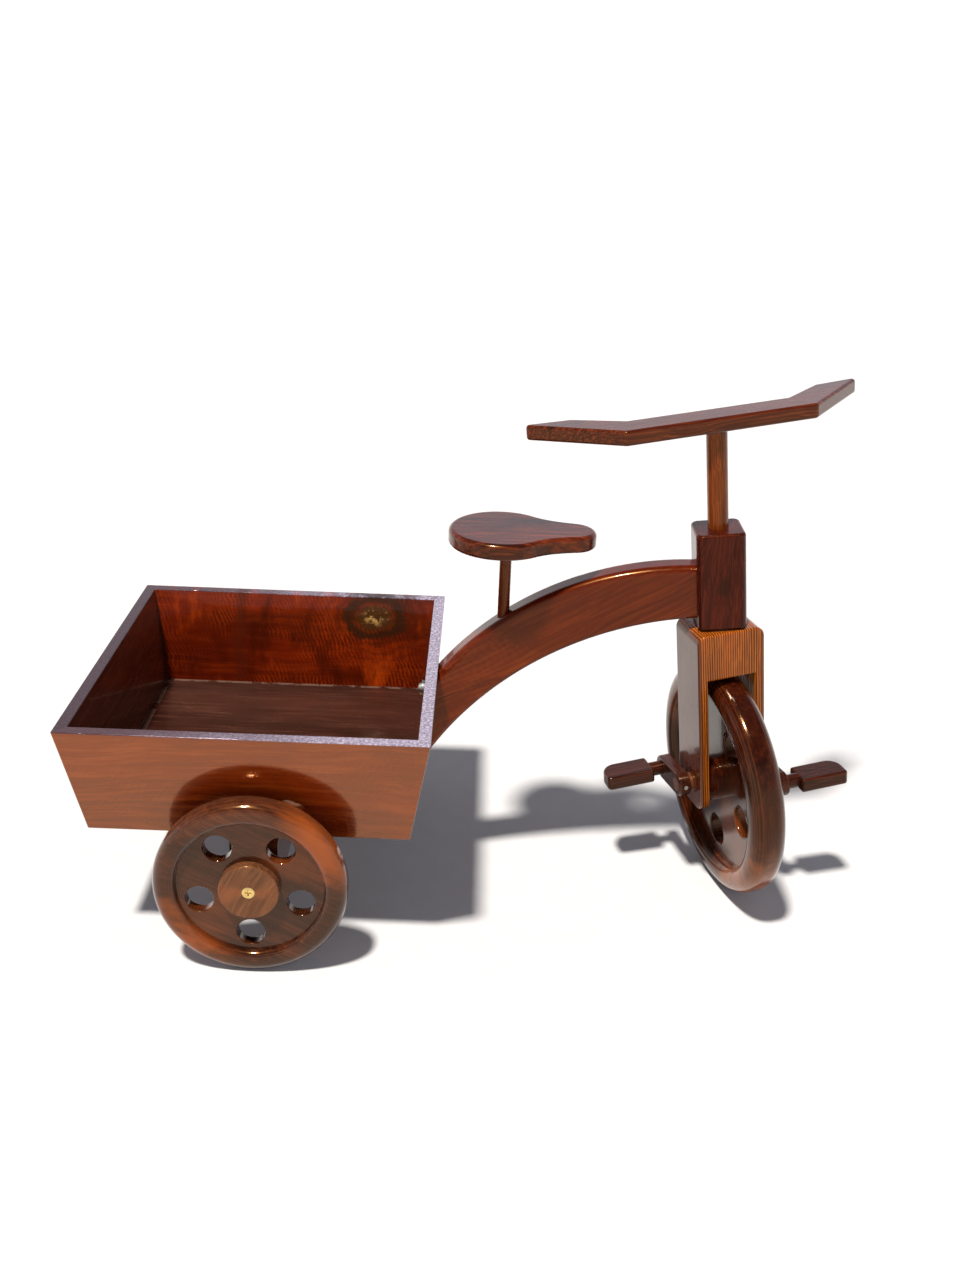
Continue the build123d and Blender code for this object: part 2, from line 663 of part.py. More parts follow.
with BuildPart() as fork:
    with BuildSketch(fork_front):
        with Locations((0, (fork_crown_above_axle - fork_below_axle) / 2)):
            Rectangle(fork_width, fork_crown_above_axle + fork_below_axle)
        with Locations((0, (fork_slot_above_axle - fork_below_axle) / 2)):
            Rectangle(fork_slot_width, fork_slot_above_axle + fork_below_axle, mode=Mode.SUBTRACT)
    extrude(amount=fork_depth / 2, both=True)
    across = fork.edges().filter_by(runs_along(fork_left))
    heights = across.sort_by(lambda edge: fork_frame.to_local_coords(edge.center()).Z)
    fillet(heights[0:4], radius=fork_toe_round)
    lengthways = fork.edges().filter_by(runs_along(fork_forward))
    heights = lengthways.sort_by(lambda edge: fork_frame.to_local_coords(edge.center()).Z)
    fillet(heights[-2:], radius=fork_shoulder_round)
    front_and_back = fork.faces().filter_by(square_to(fork_forward))
    fillet(front_and_back.edges(), radius=fork_edge_round)
    with BuildSketch(fork_side):
        Circle(front_axle_radius + running_clearance)
    extrude(amount=fork_width, both=True, mode=Mode.SUBTRACT)
    with BuildSketch(fork_frame.offset(stem_foot)):
        Circle(stem_radius)
    extrude(amount=stem_in_crown, mode=Mode.SUBTRACT)
    add(stem_cross_pin.part, mode=Mode.SUBTRACT)
fork.part.label = "fork"

with BuildPart() as handlebar:
    with BuildSketch(fork_frame.offset(bar_underside)) as bar_outline:
        front_right = [(bar_front_edge, -bar_elbow_front), (-bar_tip_sweep, -bar_tip_front)]
        back_right = [(-bar_tip_sweep + bar_tip_slant, -bar_tip_back), (-bar_back_edge, -bar_elbow_back)]
        right_half = front_right + back_right
        left_half = [(x, -y) for x, y in reversed(right_half)]
        with BuildLine():
            Polyline(*right_half, *left_half, close=True)
        make_face()
        corners = bar_outline.vertices().sort_by(lambda vertex: abs(vertex.Y))
        fillet(corners[-2:], radius=bar_tip_round)
        corners = bar_outline.vertices().sort_by(lambda vertex: abs(vertex.Y))
        fillet(corners[:-4], radius=bar_corner_round)
    extrude(amount=bar_thickness)
    flat_faces = handlebar.faces().filter_by(square_to(steering_axis))
    fillet(flat_faces.edges(), radius=bar_edge_round)
    add(steering_stem.part, mode=Mode.SUBTRACT)
    add(bar_pin.part, mode=Mode.SUBTRACT)
handlebar.part.label = "handlebar"

# ---- front axle, cranks and pedals --------------------------------------------------------------

crank_inner = fork_width / 2 + crank_gap
crank_pins = {}
pedal_sets = {}
for side, name in ((-1, "right"), (1, "left")):
    # each side's plane looks outward; forward is to its right on one side and to its left on the other
    outward = fork_left * side
    along = (-fork_forward).rotate(Axis((0, 0, 0), fork_left), -crank_drop) * -side
    crank_plane = Plane(front_origin, x_dir=along, z_dir=outward).offset(crank_inner)
    pin_start = crank_plane.offset(crank_thickness / 2).from_local_coords(Vector(-crank_width / 2, 0, 0))
    with BuildPart() as crank_pin:
        with BuildSketch(Plane(pin_start, z_dir=along)):
            Circle(crank_pin_radius)
        extrude(amount=crank_width * 0.7)
    crank_pin.part.label = name + "_crank_pin"
    crank_pins[name] = crank_pin.part

    pedal_plane = Plane(front_origin + along * crank_length, x_dir=fork_forward, z_dir=outward)
    recess_floor = crank_inner + pedal_recess_depth
    spigot_end = recess_floor - face_gap
    with BuildPart() as pedal_screw:
        with BuildSketch(pedal_plane.offset(spigot_end)):
            Circle(pedal_screw_head_radius)
        extrude(amount=-pedal_screw_head_height)
        with BuildSketch(pedal_plane.offset(spigot_end)):
            Circle(pedal_screw_radius)
        extrude(amount=pedal_screw_length)
    pedal_screw.part.label = name + "_pedal_screw"

    with BuildPart() as crank:
        with BuildSketch(crank_plane):
            with Locations((crank_length / 2, 0)):
                SlotCenterToCenter(crank_length, crank_width)
        extrude(amount=crank_thickness)
        faces = crank.faces().filter_by(square_to(outward))
        fillet(faces.edges(), radius=crank_edge_round)
        with BuildSketch(crank_plane):
            Circle(axle_tenon_radius)
            with Locations((crank_length, 0)):
                Circle(pedal_spigot_radius + running_clearance)
        extrude(amount=crank_thickness, mode=Mode.SUBTRACT)
        with BuildSketch(crank_plane):
            with Locations((crank_length, 0)):
                Circle(pedal_screw_head_radius + 1.0)
        extrude(amount=pedal_recess_depth, mode=Mode.SUBTRACT)
        add(crank_pin.part, mode=Mode.SUBTRACT)
    crank.part.label = name + "_crank"

    shoulder = crank_outer + face_gap
    with BuildPart() as pedal:
        with BuildSketch(pedal_plane.offset(shoulder + pedal_neck_length)):
            Rectangle(pedal_depth, pedal_thickness)
        extrude(amount=pedal_length)
        ends = pedal.edges().filter_by(runs_along(steering_axis))
        outer_ends = ends.sort_by(lambda edge: edge.center().dot(outward))[-2:]
        back_end, toe_end = outer_ends.sort_by(lambda edge: edge.center().dot(fork_forward))
        fillet(back_end, radius=pedal_corner_round)
        ends = pedal.edges().filter_by(runs_along(steering_axis))
        toe_end = ends.sort_by(lambda edge: edge.center().dot(outward * 2 + fork_forward))[-1]
        fillet(toe_end, radius=pedal_toe_round)
        fillet(pedal.edges(), radius=pedal_edge_round)
        with BuildSketch(pedal_plane.offset(shoulder)):
            Circle(pedal_neck_radius)
        extrude(amount=pedal_neck_length + pedal_edge_round)
        with BuildSketch(pedal_plane.offset(spigot_end)):
            Circle(pedal_spigot_radius)
        extrude(amount=shoulder - spigot_end)
        add(pedal_screw.part, mode=Mode.SUBTRACT)
    pedal.part.label = name + "_pedal"
    pedal_sets[name] = (crank.part, pedal.part, pedal_screw.part)

with BuildPart() as front_axle:
    with BuildSketch(fork_side):
        Circle(front_axle_radius)
    extrude(amount=fork_width / 2 + crank_gap, both=True)
    with BuildSketch(fork_side):
        Circle(axle_tenon_radius)
    extrude(amount=crank_outer, both=True)
    add(wheel_key_pin.part, mode=Mode.SUBTRACT)
    add(crank_pins["right"], mode=Mode.SUBTRACT)
    add(crank_pins["left"], mode=Mode.SUBTRACT)
front_axle.part.label = "front_axle"

# ---- files --------------------------------------------------------------------------------------

for name, shape in hub_parts.items():
    shape.label = name

pieces = [
    end_panels["rear_panel"], end_panels["front_panel"],
    side_panels["right_side_panel"], side_panels["left_side_panel"],
    cargo_floor.part, panel_nails.part, rear_axle_beam.part, axle_beam_screws.part, rear_axle.part,
    *hub_parts.values(), *rear_wheels.values(),
    curved_beam.part, beam_bolt.part, beam_bolt_washer.part, beam_foot_dowel.part,
    head_block.part, beam_dowels.part, keeper_pin.part, seat_post.part, seat.part,
    fork.part, steering_stem.part, stem_cross_pin.part, thrust_washer.part, handlebar.part, bar_pin.part,
    front_wheel.part, front_axle.part, wheel_key_pin.part, *crank_pins.values(),
    *pedal_sets["right"], *pedal_sets["left"],
]

os.makedirs("parts", exist_ok=True)
for piece in pieces:
    export_step(piece, "parts/" + piece.label + ".step")
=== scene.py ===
import json
from math import cos, pi, radians, sin

import bmesh
import bpy
from mathutils import Matrix, Vector


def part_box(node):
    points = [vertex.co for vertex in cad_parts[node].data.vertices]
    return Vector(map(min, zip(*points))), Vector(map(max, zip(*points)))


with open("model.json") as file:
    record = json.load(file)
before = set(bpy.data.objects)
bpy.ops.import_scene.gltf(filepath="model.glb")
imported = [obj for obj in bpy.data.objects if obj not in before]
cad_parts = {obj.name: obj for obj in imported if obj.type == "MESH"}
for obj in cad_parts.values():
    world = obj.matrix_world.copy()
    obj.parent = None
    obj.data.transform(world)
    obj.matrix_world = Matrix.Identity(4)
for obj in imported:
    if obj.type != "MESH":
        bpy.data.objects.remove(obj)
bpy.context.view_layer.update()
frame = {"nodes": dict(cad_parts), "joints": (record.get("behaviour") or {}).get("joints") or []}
nodes = frame["nodes"]

# ---- cargo tray ---------------------------------------------------------------------------------
# Four flared boards mitred at the corners round a flat floor, in a red-brown hardwood under thick
# clear varnish.  The boards are planed flat, so they keep the frame's shape and get their finish.

FORWARD = Vector((1, 0, 0))
ACROSS = Vector((0, 1, 0))
UPRIGHT = Vector((0, 0, 1))

growth_wander = 0.035       # the width that a growth line strays over, in metres
fine_lines = 11             # fine grain lines in one growth stripe
pore_cover = 0.4
pore_shade = 0.3            # brightness of a pore against the darkest stripe
pore_depth = 0.06
board_swell = 0.5           # slow rise and fall of the planed face
varnish_roughness = 0.035
varnish_wave = 0.22         # strength of the unevenness that the varnish follows
varnish_wave_depth = 0.0009
edge_fade_start = 0.0014    # the sawn top edges' finish starts this far below the rim
edge_fade_end = 0.0004      # and is full from here up
edge_shine_tint = (0.10, 0.08, 0.10)
edge_coat_share = 0.35


def new_tree(name):
    """Empty material with its shader and output."""
    material = bpy.data.materials.new(name)
    material.use_nodes = True
    tree = material.node_tree
    tree.nodes.clear()
    shader = tree.nodes.new("ShaderNodeBsdfPrincipled")
    output = tree.nodes.new("ShaderNodeOutputMaterial")
    tree.links.new(shader.outputs["BSDF"], output.inputs["Surface"])
    return material, tree, shader


def add_node(tree, kind, inputs=None, **settings):
    """One node with its settings, each input a value or another node's output."""
    node = tree.nodes.new(kind)
    for key, value in settings.items():
        setattr(node, key, value)
    for key, value in (inputs or {}).items():
        socket = node.inputs[key]
        if isinstance(value, bpy.types.NodeSocket):
            tree.links.new(value, socket)
        else:
            socket.default_value = value
    return node


def maths(tree, operation, first, second=0.0, clamp=False):
    """One sum of two numbers or node outputs."""
    return add_node(tree, "ShaderNodeMath", {0: first, 1: second}, operation=operation,
                    use_clamp=clamp).outputs[0]


def plus(tree, first, second):
    return maths(tree, "ADD", first, second)


def minus(tree, first, second):
    return maths(tree, "SUBTRACT", first, second)


def times(tree, first, second):
    return maths(tree, "MULTIPLY", first, second)


def ramp(tree, value, low, high, to_low=0.0, to_high=1.0):
    """Smooth step of a value from low to high."""
    return add_node(tree, "ShaderNodeMapRange", {"Value": value, "From Min": low, "From Max": high,
                                                 "To Min": to_low, "To Max": to_high},
                    interpolation_type="SMOOTHSTEP").outputs["Result"]


def blend(tree, factor, under, over):
    """Colour laid over another by a factor.  The mix node keeps its colours in sockets 6 and 7."""
    node = add_node(tree, "ShaderNodeMix", data_type="RGBA")
    for socket, value in ((node.inputs[0], factor), (node.inputs[6], under), (node.inputs[7], over)):
        if isinstance(value, bpy.types.NodeSocket):
            tree.links.new(value, socket)
        else:
            socket.default_value = value if isinstance(value, float) else (*value, 1.0)
    return node.outputs[2]


def along_board(tree, along, across):
    """Place on the board, and its lengths along the grain, across it and through the board."""
    along = along.normalized()
    through = along.cross(across).normalized()
    across = through.cross(along).normalized()
    place = add_node(tree, "ShaderNodeTexCoord").outputs["Object"]
    parts = []
    for way in (along, across, through):
        dot = add_node(tree, "ShaderNodeVectorMath", {0: place, 1: tuple(way)}, operation="DOT_PRODUCT")
        parts.append(dot.outputs["Value"])
    return place, parts


def axis_of(tree, place, axis):
    """One coordinate of a place."""
    return add_node(tree, "ShaderNodeSeparateXYZ", {0: place}).outputs[axis]


def stretched(tree, parts, scales, offset=0.0):
    """Grain coordinates with each direction at its own scale."""
    shifted = []
    for part, scale in zip(parts, scales):
        shifted.append(add_node(tree, "ShaderNodeMath", {0: part, 1: scale, 2: offset},
                                operation="MULTIPLY_ADD").outputs[0])
    return add_node(tree, "ShaderNodeCombineXYZ", dict(enumerate(shifted))).outputs[0]


def noise(tree, vector, scale=1.0, detail=3.0, roughness=0.5, distortion=0.0):
    return add_node(tree, "ShaderNodeTexNoise", {"Vector": vector, "Scale": scale, "Detail": detail,
                                                 "Roughness": roughness, "Distortion": distortion}
                    ).outputs["Fac"]


def bend_grain(tree, parts, seed):
    """Grain coordinates that wander, so that the growth lines aren't ruled straight."""
    wander = noise(tree, stretched(tree, parts, (5.0, 9.0, 9.0), seed), detail=2.0)
    lift = times(tree, minus(tree, wander, 0.5), growth_wander)
    return [parts[0], plus(tree, parts[1], lift), plus(tree, parts[2], lift)]


def ripple_figure(tree, parts, colour, dark, light, seed, strength, pitch, lean):
    """Broken light and dark bands across the grain, where the fibres roll up and down."""
    sway = noise(tree, stretched(tree, parts, (24.0, 42.0, 42.0), seed + 8.0), detail=5.0, roughness=0.7)
    run = plus(tree, times(tree, parts[0], cos(radians(lean))), times(tree, parts[1], sin(radians(lean))))
    phase = plus(tree, times(tree, run, 2 * pi / pitch), times(tree, sway, 24.0))
    crest = ramp(tree, maths(tree, "SINE", phase), -1.0, 1.0)
    patch = noise(tree, stretched(tree, parts, (14.0, 26.0, 26.0), seed + 5.1))
    share = times(tree, ramp(tree, patch, 0.42, 0.66), strength)
    colour = blend(tree, times(tree, crest, share), colour, light)
    trough = times(tree, minus(tree, 1.0, crest), share)
    return blend(tree, times(tree, trough, 0.7), colour, dark)


def sawn_edge(tree, place, to_low=0.0, to_high=1.0):
    """A value for the boards below their sawn top edges, and another on the edges."""
    return ramp(tree, axis_of(tree, place, "Z"), rim_height - edge_fade_start,
                rim_height - edge_fade_end, to_low, to_high)


def varnished_wood(name, along, across, dark, mid, light, seed=0.0, stripes=34.0, ripple=0.0,
                   ripple_pitch=0.006, ripple_lean=0.0, clouds=0.35, grain=0.6, coat=0.75,
                   coat_ior=1.28, shine_tint=(1.0, 0.55, 0.20), shine_ior=1.36, gloss=0.24, marks=None,
                   dull_top=False):
    """Hardwood under glossy varnish: growth stripes, fine grain, ripple figure, stain clouds, pores."""
    material, tree, shader = new_tree(name)
    place, parts = along_board(tree, along, across)
    bent = bend_grain(tree, parts, seed)

    stripe = noise(tree, stretched(tree, bent, (1.8, stripes, stripes), seed), detail=4.0,
                   roughness=0.55, distortion=0.4)
    colour = blend(tree, ramp(tree, stripe, 0.30, 0.70), dark, mid)
    fine_pitch = stripes * fine_lines
    fine = noise(tree, stretched(tree, bent, (9.0, fine_pitch, fine_pitch), seed), roughness=0.65)
    colour = blend(tree, times(tree, ramp(tree, fine, 0.40, 0.72), grain), colour, light)
    if ripple:
        colour = ripple_figure(tree, parts, colour, dark, light, seed, ripple, ripple_pitch, ripple_lean)
    cloud = noise(tree, stretched(tree, parts, (7.0, 12.0, 12.0), seed + 3.7), roughness=0.55,
                  distortion=0.8)
    colour = blend(tree, times(tree, ramp(tree, cloud, 0.42, 0.70), clouds), colour, dark)
    pores = ramp(tree, noise(tree, stretched(tree, bent, (40.0, 1700.0, 1700.0), seed), detail=1.0),
                 0.60, 0.74)
    pore_tone = tuple(tone * pore_shade for tone in dark)
    colour = blend(tree, times(tree, pores, pore_cover), colour, pore_tone)

    swell = noise(tree, place, 55.0, detail=2.0)
    height = plus(tree, times(tree, swell, board_swell), times(tree, pores, -pore_depth))
    if marks:
        colour, height = marks(tree, place, parts, colour, height)
    tree.links.new(colour, shader.inputs["Base Color"])
    tree.links.new(ramp(tree, fine, 0.2, 0.8, gloss * 0.8, gloss * 1.25), shader.inputs["Roughness"])
    shader.inputs["IOR"].default_value = shine_ior
    shader.inputs["Specular Tint"].default_value = (*shine_tint, 1.0)
    shader.inputs["Coat Weight"].default_value = coat
    shader.inputs["Coat Roughness"].default_value = varnish_roughness
    shader.inputs["Coat IOR"].default_value = coat_ior
    if dull_top:
        tint = blend(tree, sawn_edge(tree, place), shine_tint, edge_shine_tint)
        tree.links.new(tint, shader.inputs["Specular Tint"])
        weight = sawn_edge(tree, place, coat, coat * edge_coat_share)
        tree.links.new(weight, shader.inputs["Coat Weight"])
    bump = add_node(tree, "ShaderNodeBump", {"Height": height, "Strength": varnish_wave,
                                             "Distance": varnish_wave_depth})
    tree.links.new(bump.outputs["Normal"], shader.inputs["Normal"])
    tree.links.new(bump.outputs["Normal"], shader.inputs["Coat Normal"])
    return material


def finish(name, material):
    """A frame node that keeps its shape gets its own finish."""
    mesh = nodes[name].data
    mesh.materials.clear()
    mesh.materials.append(material)


rim_low, rim_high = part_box("right_side_panel")
rim_height = rim_high.z
rim_middle = (rim_low.x + rim_high.x) / 2
sawn_tone = (0.030, 0.014, 0.016)
# The pale violet on the top edges is painted sheen, standing in for the sky's reflection; it grows
# towards the front.
painted_sheen_tone = (0.46, 0.42, 0.55)
painted_sheen_starts = rim_middle - 0.06
painted_sheen_full = rim_middle + 0.20
thinnest_painted_sheen = 0.06
painted_sheen_between_specks = 0.35


def rim_edge_and_painted_sheen(tree, place, parts, colour, height):
    """The boards' sawn top edges are dark, with a speckled pale violet bloom painted as the sky's sheen
    on the flat tops, thinning towards the rear.
    """
    top = sawn_edge(tree, place)
    # Painted sky sheen: speckled, thin at the rear and full towards the front.
    speck = ramp(tree, noise(tree, place, 420.0, roughness=0.7), 0.42, 0.68)
    drift = plus(tree, axis_of(tree, place, "X"), times(tree, noise(tree, place, 22.0, detail=2.0), 0.12))
    patch = ramp(tree, drift, painted_sheen_starts, painted_sheen_full, thinnest_painted_sheen, 1.0)
    specks = times(tree, speck, 1 - painted_sheen_between_specks)
    cover = times(tree, patch, plus(tree, painted_sheen_between_specks, specks))
    share = maths(tree, "MULTIPLY", top, cover, clamp=True)
    colour = blend(tree, times(tree, top, 0.9), colour, sawn_tone)
    return blend(tree, share, colour, painted_sheen_tone), height


def ring_distance(tree, parts, middle, size, jitter):
    """Distance from a spot on a board, 1 at the edge of an oval of that size, with a ragged outline."""
    squares = []
    for part, centre, reach in zip(parts, middle, size):
        shift = maths(tree, "DIVIDE", minus(tree, part, centre), reach)
        squares.append(times(tree, shift, shift))
    away = maths(tree, "SQRT", plus(tree, squares[0], squares[1]))
    return plus(tree, away, times(tree, minus(tree, jitter, 0.5), 0.9))


far_low, far_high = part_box("left_side_panel")
knot_from_front = 0.072
knot_from_bottom = 0.087
knot_size = (0.030, 0.021)
knot_crust = 1.6            # how rough the knot's heart stands
ring_phase = 15.0           # phase of the rings across one knot radius
band_from_rear = 0.108
band_dark_half = 0.002
band_soft_half = 0.010
knot_edge_tone = (0.018, 0.007, 0.003)
knot_heart_tone = (0.035, 0.016, 0.004)
# Gold painted into the knot's heart stands in for glints of light on its rough varnish.
knot_painted_glint_tone = (0.42, 0.24, 0.07)
ring_tone = (0.05, 0.006, 0.002)
warm_depth_tone = (0.48, 0.055, 0.003)
dark_depth_tone = (0.03, 0.0025, 0.0006)


def far_board_marks(tree, place, parts, colour, height):
    """A big dark knot near the front with rings round it and painted gold glints in its heart, one dark
    band across the board, and the top edges' painted sheen.
    """
    colour, height = rim_edge_and_painted_sheen(tree, place, parts, colour, height)
    depth = noise(tree, stretched(tree, parts, (24.0, 9.0, 9.0), 3.0), detail=4.0, roughness=0.6)
    colour = blend(tree, ramp(tree, depth, 0.52, 0.70, 0.0, 0.55), colour, warm_depth_tone)
    colour = blend(tree, ramp(tree, depth, 0.48, 0.34, 0.0, 0.75), colour, dark_depth_tone)

    ragged = noise(tree, place, 60.0, detail=4.0, roughness=0.6)
    knot_place = (far_high.x - knot_from_front, far_low.z + knot_from_bottom)
    away = ring_distance(tree, parts, knot_place, knot_size, ragged)
    rings = maths(tree, "SINE", times(tree, away, ring_phase))
    near = ramp(tree, away, 1.1, 3.4, 1.0, 0.0)
    share = times(tree, times(tree, ramp(tree, rings, -0.2, 1.0), near), 0.55)
    colour = blend(tree, share, colour, ring_tone)
    edge = times(tree, ramp(tree, away, 0.55, 0.85), ramp(tree, away, 1.0, 1.3, 1.0, 0.0))
    colour = blend(tree, times(tree, edge, 0.85), colour, knot_edge_tone)
    heart = ramp(tree, away, 0.35, 0.85, 1.0, 0.0)
    # Painted gold glints in the knot's heart; the same flecks raise its rough crust.
    fleck = ramp(tree, noise(tree, place, 120.0, detail=5.0, roughness=0.7), 0.52, 0.66)
    glint_core = times(tree, fleck, ramp(tree, away, 0.30, 0.62, 1.0, 0.12))
    heart_tone = blend(tree, glint_core, knot_heart_tone, knot_painted_glint_tone)
    colour = blend(tree, times(tree, heart, 0.9), colour, heart_tone)

    band_at = plus(tree, parts[0], times(tree, ragged, 0.012))
    band = maths(tree, "ABSOLUTE", minus(tree, band_at, far_low.x + band_from_rear))
    colour = blend(tree, ramp(tree, band, band_dark_half, band_soft_half, 0.6, 0.0), colour, ring_tone)
    crust = times(tree, times(tree, heart, fleck), knot_crust)
    return colour, plus(tree, height, crust)


floor_low, floor_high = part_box("cargo_floor")
dust_tone = (0.26, 0.17, 0.13)
far_dust_start = floor_high.y - 0.0048
far_dust_end = floor_high.y - 0.0036
rear_dust_start = floor_low.x + 0.0034
rear_dust_end = floor_low.x + 0.0046


def edge_dust(tree, place, parts, colour, height):
    """Pale dust and dried glue lie in a thin broken line along the floor's rear and far edges."""
    worn = ramp(tree, noise(tree, place, 75.0, roughness=0.6), 0.40, 0.56)
    far = ramp(tree, axis_of(tree, place, "Y"), far_dust_start, far_dust_end, 0.0, 0.32)
    rear = ramp(tree, axis_of(tree, place, "X"), rear_dust_start, rear_dust_end, 0.45, 0.0)
    line = maths(tree, "MAXIMUM", far, rear)
    return blend(tree, times(tree, line, worn), colour, dust_tone), height


finish("right_side_panel", varnished_wood(
    "near_board", FORWARD, UPRIGHT, dark=(0.06, 0.005, 0.0008), mid=(0.165, 0.020, 0.002),
    light=(0.30, 0.055, 0.006), seed=1.3, stripes=16.0, ripple=0.09, ripple_pitch=0.0050,
    ripple_lean=-35.0, clouds=0.7, grain=0.5, coat=0.35, shine_tint=(1.0, 0.44, 0.20), shine_ior=2.2,
    gloss=0.085, marks=rim_edge_and_painted_sheen, dull_top=True))
finish("left_side_panel", varnished_wood(
    "far_board", FORWARD, UPRIGHT, dark=(0.035, 0.003, 0.0006), mid=(0.135, 0.009, 0.001),
    light=(0.27, 0.026, 0.0018), seed=7.9, stripes=12.0, ripple=0.5, ripple_pitch=0.0040,
    ripple_lean=20.0, clouds=0.3, grain=0.3, coat=0.6, shine_tint=(1.0, 0.35, 0.10),
    marks=far_board_marks, dull_top=True))
finish("rear_panel", varnished_wood(
    "rear_board", ACROSS, UPRIGHT, dark=(0.018, 0.005, 0.003), mid=(0.058, 0.014, 0.009),
    light=(0.10, 0.03, 0.018), seed=4.2, stripes=26.0, clouds=0.45, marks=rim_edge_and_painted_sheen, dull_top=True))
finish("front_panel", varnished_wood(
    "front_board", ACROSS, UPRIGHT, dark=(0.018, 0.005, 0.003), mid=(0.065, 0.014, 0.008),
    light=(0.11, 0.03, 0.016), seed=9.4, stripes=26.0, clouds=0.45, marks=rim_edge_and_painted_sheen, dull_top=True))
finish("cargo_floor", varnished_wood(
    "floor_board", FORWARD, ACROSS, dark=(0.016, 0.005, 0.0035), mid=(0.042, 0.012, 0.008),
    light=(0.07, 0.023, 0.014), seed=2.6, stripes=20.0, clouds=0.5, marks=edge_dust))

# ---- tray fasteners -----------------------------------------------------------------------------
# Steel nails hold the mitred corners, and two long steel screws hold the axle beam up against the
# floor.  All of them are out of sight, with a plain zinc finish.

metal_wave = 0.2
metal_wave_depth = 0.0003
dull_share = 0.62           # brightness of the metal's duller patches


def bare_metal(name, tint, rough):
    """Plain metal with duller patches and fine marks."""
    material, tree, shader = new_tree(name)
    place = add_node(tree, "ShaderNodeTexCoord").outputs["Object"]
    marks = noise(tree, place, 900.0, detail=4.0, roughness=0.7)
    patch = ramp(tree, noise(tree, place, 160.0), 0.35, 0.7)
    colour = blend(tree, patch, tint, tuple(tone * dull_share for tone in tint))
    tree.links.new(colour, shader.inputs["Base Color"])
    tree.links.new(ramp(tree, marks, 0.3, 0.7, rough * 0.7, rough * 1.4), shader.inputs["Roughness"])
    shader.inputs["Metallic"].default_value = 1.0
    bump = add_node(tree, "ShaderNodeBump", {"Height": marks, "Strength": metal_wave,
                                             "Distance": metal_wave_depth})
    tree.links.new(bump.outputs["Normal"], shader.inputs["Normal"])
    return material


zinc = bare_metal("zinc_steel", tint=(0.62, 0.62, 0.60), rough=0.32)
for name in ("panel_nails", "axle_beam_screws"):
    finish(name, zinc)

# ---- rear axle ----------------------------------------------------------------------------------
# A hardwood beam under the tray is bored for the axle rod, which doesn't turn.  The rod, and the
# thin turned washer between the beam and each wheel, are of one paler wood.

finish("rear_axle_beam", varnished_wood(
    "axle_beam_wood", ACROSS, UPRIGHT, dark=(0.04, 0.009, 0.004), mid=(0.13, 0.032, 0.011),
    light=(0.24, 0.075, 0.024), seed=3.3, stripes=40.0))
rod_wood = varnished_wood(
    "rod_wood", ACROSS, UPRIGHT, dark=(0.07, 0.02, 0.008), mid=(0.18, 0.06, 0.02),
    light=(0.30, 0.12, 0.045), seed=5.8, stripes=90.0)
for name in ("rear_axle", "right_hub_washer", "left_hub_washer"):
    finish(name, rod_wood)

# ---- rear wheels --------------------------------------------------------------------------------
# Each wheel is turned from one disc, with a fat rounded rim, a thin web with five holes and a boss.
# An orange glow is painted across one diagonal of the turned wood, where its fibres would catch the
# light.

turning_pitch = 0.0019      # from one fine turning line to the next
turning_depth = 0.012
# The glow in these numbers is painted into the wood's colour.
turning_tint = 0.10         # how much of the glow the turning lines carry
rear_rim_inside = 0.062     # the glow gains strength from this radius out
rim_step = 0.006
web_glow = 0.3              # share of the glow inside that radius
wheel_tones = dict(dark=(0.010, 0.003, 0.0018), mid=(0.052, 0.014, 0.006), light=(0.13, 0.036, 0.013))
wheel_grain = Vector((0.9, 0, -0.43))
# Painted glow on the rear wheels' rims.
wheel_painted_glow = (0.36, 0.075, 0.010)


def turned_marks(middle, spin, glow_way, glow, share, inside=0.0):
    """Marks of a wheel: two opposite quarters of painted glow outside a radius, and fine turning lines.
    """
    glow_way = (glow_way - spin * glow_way.dot(spin)).normalized()
    dull_way = spin.cross(glow_way)

    def marks(tree, place, parts, colour, height):
        arm = add_node(tree, "ShaderNodeVectorMath", {0: place, 1: tuple(middle)}, operation="SUBTRACT")
        squares = []
        for way in (glow_way, dull_way):
            reach = add_node(tree, "ShaderNodeVectorMath", {0: arm.outputs[0], 1: tuple(way)},
                             operation="DOT_PRODUCT").outputs["Value"]
            squares.append(times(tree, reach, reach))
        whole = plus(tree, plus(tree, squares[0], squares[1]), 1e-6)
        turn = maths(tree, "DIVIDE", minus(tree, squares[0], squares[1]), whole)
        streak = noise(tree, stretched(tree, parts, (16.0, 46.0, 46.0), 2.0), detail=4.0, roughness=0.6,
                       distortion=0.7)
        lit = ramp(tree, plus(tree, turn, times(tree, streak, 2.4)), 1.35, 2.55)
        radius = maths(tree, "SQRT", whole)
        outer = ramp(tree, radius, inside, inside + rim_step, web_glow, 1.0)
        # Painted orange glow on two opposite quarters.
        colour = blend(tree, times(tree, times(tree, lit, outer), share), colour, glow)
        rings = maths(tree, "SINE", times(tree, radius, 2 * pi / turning_pitch))
        colour = blend(tree, ramp(tree, rings, 0.2, 1.0, 0.0, turning_tint), colour, glow)
        return colour, plus(tree, height, times(tree, rings, turning_depth))
    return marks


def middle_of(name):
    low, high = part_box(name)
    return (low + high) / 2


for side, glow_way, seed in (("right", Vector((0.75, 0, 0.66)), 11.0),
                             ("left", Vector((0.6, 0, -0.8)), 12.4)):
    name = side + "_rear_wheel"
    finish(name, varnished_wood(
        side + "_wheel_wood", wheel_grain, ACROSS, **wheel_tones, seed=seed, stripes=26.0, clouds=0.65,
        grain=0.5, coat_ior=1.38, gloss=0.15,
        marks=turned_marks(middle_of(name), ACROSS, glow_way, wheel_painted_glow, share=0.62,
                           inside=rear_rim_inside)))

# ---- hub caps and their screws ------------------------------------------------------------------
# A turned hardwood disc covers each axle end.  A brass cross-head screw in its middle, sunk flush,
# holds it against the axle and keeps the wheel on.

